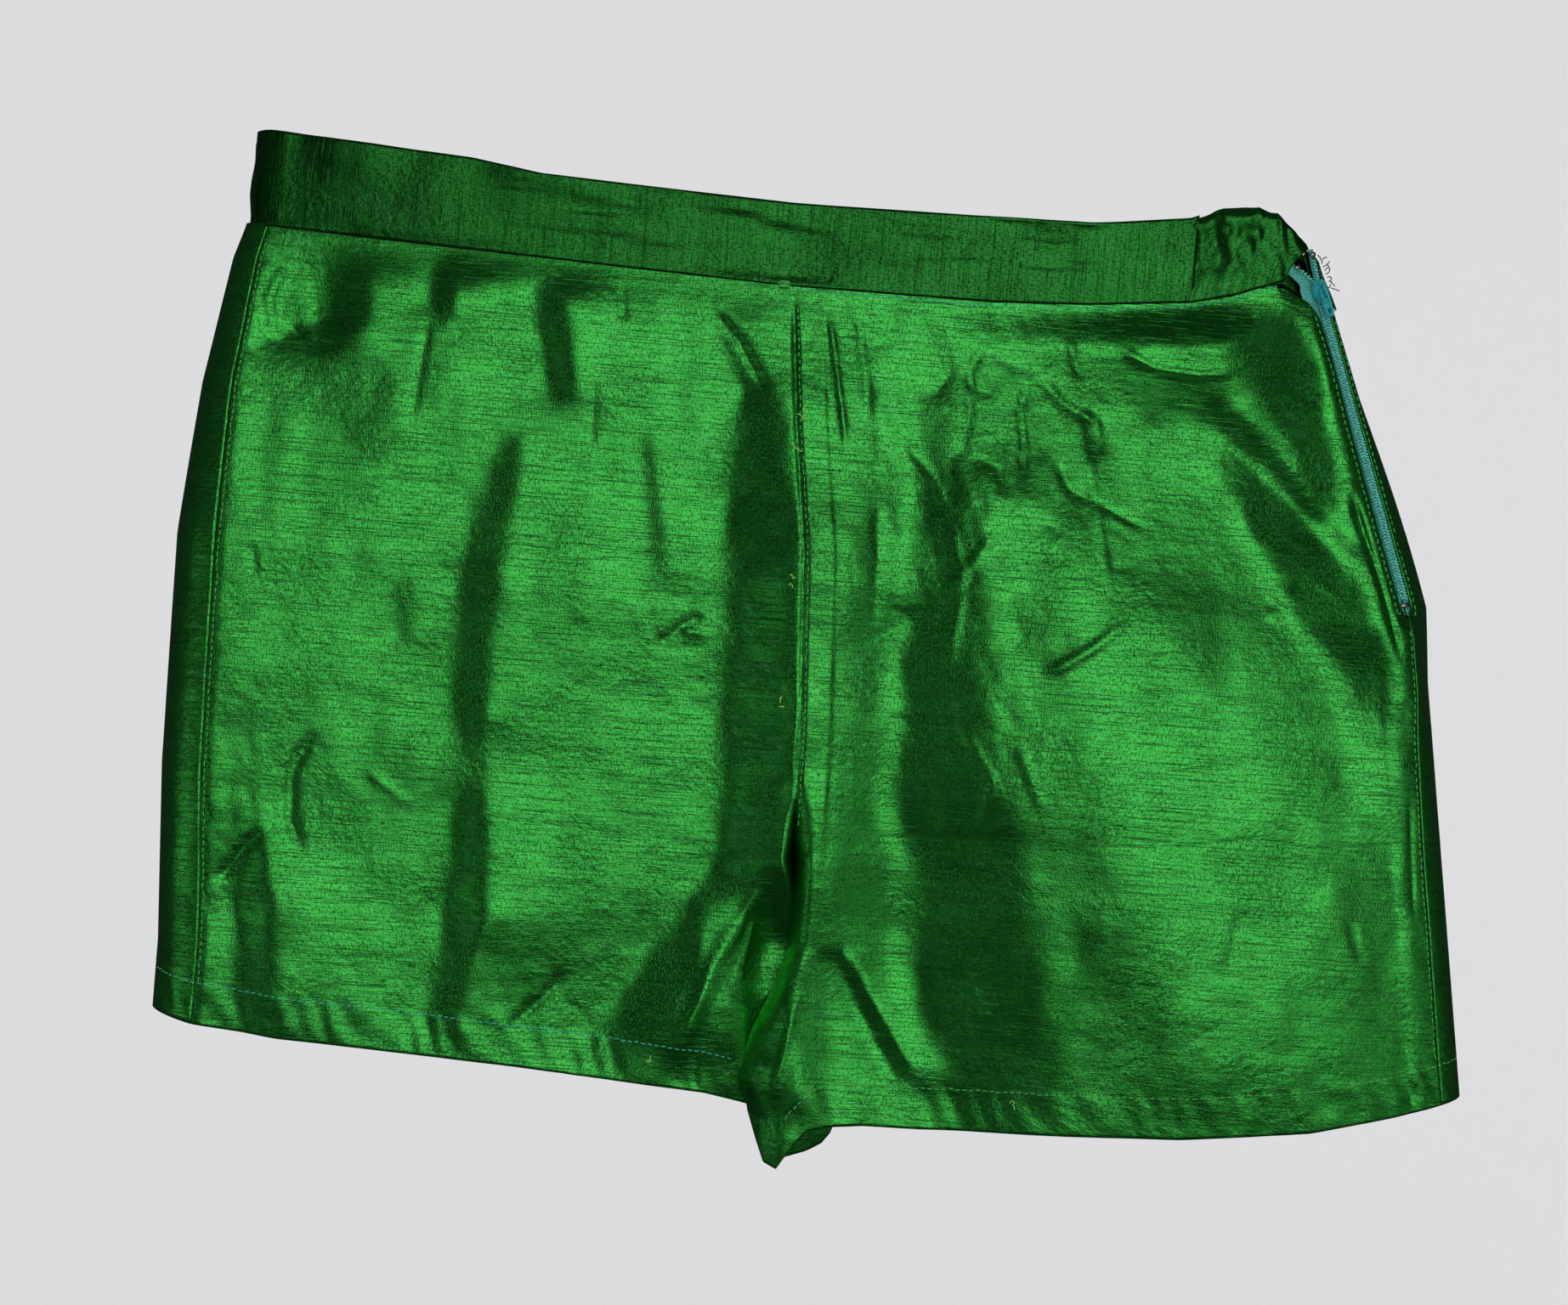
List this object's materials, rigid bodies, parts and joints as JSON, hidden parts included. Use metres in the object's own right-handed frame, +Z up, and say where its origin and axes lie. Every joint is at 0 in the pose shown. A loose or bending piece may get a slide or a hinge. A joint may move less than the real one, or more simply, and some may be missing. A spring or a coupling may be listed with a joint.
{
  "type": "shorts",
  "caption": "Slub silk shorts with a flat front waistband, an elasticated back, centre seams, turned-up hems and a zip in the left side seam.",
  "frame": {"origin": "centre of the waist opening, level with the waistband's upper edge at centre front", "axes": "+X to the wearer's left, +Y to the wearer's back, +Z up; the front faces -Y"},
  "size_m": [0.5218, 0.0494, 0.392],
  "materials": {
    "silk": "lustrous slub weave",
    "silk_inside": "slub weave",
    "interfacing": "matt non-woven",
    "elastic": "knitted, matt",
    "zip_tape": "herringbone tape",
    "zip_coil": "nylon coil",
    "stop_metal": "bright",
    "slider_paint": "enamelled",
    "thread_teal": "polyester thread",
    "thread_green": "polyester thread"
  },
  "bodies": {
    "garment": {"right_front_panel": "silk", "left_front_panel": "silk", "right_back_panel": "silk", "left_back_panel": "silk", "waistband_front": "silk", "waistband_interfacing": "interfacing", "waistband_front_facing": "silk_inside", "waistband_side": "silk", "waistband_back": "silk", "elastic_side": "elastic", "elastic_back": "elastic", "right_hem_turning": "silk_inside", "left_hem_turning": "silk_inside", "zip_tape_front": "zip_tape", "zip_tape_back": "zip_tape", "zip_coil_front": "zip_coil", "zip_coil_back": "zip_coil", "zip_top_stops": "stop_metal", "zip_bottom_stop": "stop_metal", "waist_stitching": "thread_teal", "centre_front_stitching": "thread_green", "centre_back_stitching": "thread_green", "right_side_stitching": "thread_green", "left_side_stitching": "thread_green", "right_inseam_stitching": "thread_green", "left_inseam_stitching": "thread_green", "right_hem_stitching": "thread_teal", "left_hem_stitching": "thread_green", "zip_stitching": "thread_green", "bar_tack": "thread_green"},
    "zip_slider": {"zip_slider": "slider_paint"},
    "zip_pull": {"zip_pull": "slider_paint"}
  },
  "joints": [
    {"name": "zip_slide", "type": "slide", "parent": "garment", "child": "zip_slider", "axis": [-0.3295, 0.0671, 0.9418], "range_m": [-0.1215, 0.0095], "deforming": ["zip_coil_front", "zip_coil_back"]},
    {"name": "zip_pull_hinge", "type": "hinge", "parent": "zip_slider", "child": "zip_pull", "pos_m": [0.19834, -0.01214, -0.01945], "axis": [-0.7636, -0.6055, -0.2241], "range_deg": [0, 170]}
  ]
}
